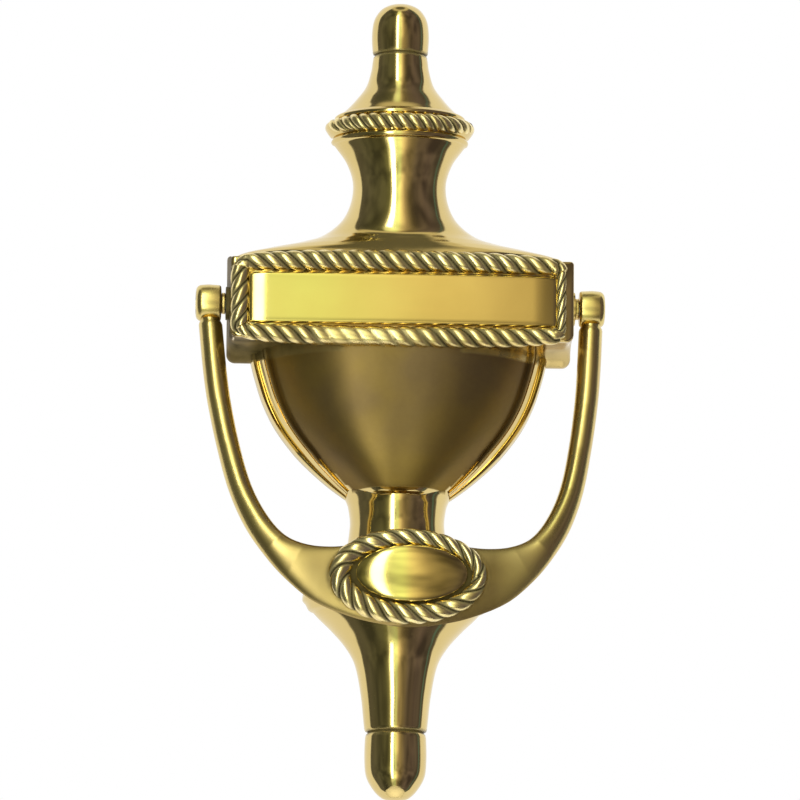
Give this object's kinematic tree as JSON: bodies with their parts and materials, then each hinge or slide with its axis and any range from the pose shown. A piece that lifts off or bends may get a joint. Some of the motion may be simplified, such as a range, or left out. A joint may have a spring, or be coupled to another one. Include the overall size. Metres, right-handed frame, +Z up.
{
  "type": "door knocker",
  "caption": "Brass urn door knocker: hollow cast urn with a blank name panel, and a swinging bail whose roped oval medallion strikes a boss on the urn.",
  "frame": {"origin": "on the door's face, on the urn's centre line, half way up the casting", "axes": "+Z up along the urn, +Y into the door, -Y out towards the caller, +X to the caller's right"},
  "size_m": [0.0958, 0.0849, 0.1902],
  "materials": {
    "urn_brass": "polished",
    "bail_brass": "polished",
    "fixing_brass": "turned",
    "pin_steel": "bright drawn",
    "stud_steel": "zinc plated"
  },
  "bodies": {
    "urn": {"urn_body": "urn_brass", "pivot_pin_left": "pin_steel", "pivot_pin_right": "pin_steel", "pivot_spacer_left": "fixing_brass", "pivot_spacer_right": "fixing_brass", "fixing_stud_upper": "stud_steel", "fixing_stud_lower": "stud_steel", "fixing_washer_upper": "fixing_brass", "fixing_washer_lower": "fixing_brass", "dome_nut_upper": "fixing_brass", "dome_nut_lower": "fixing_brass"},
    "bail": {"knocker_bail": "bail_brass"}
  },
  "joints": [
    {"name": "bail_swing", "type": "hinge", "parent": "urn", "child": "bail", "pos_m": [0, -0.008, 0.0208], "axis": [-1, 0, 0], "range_deg": [0, 160]}
  ]
}
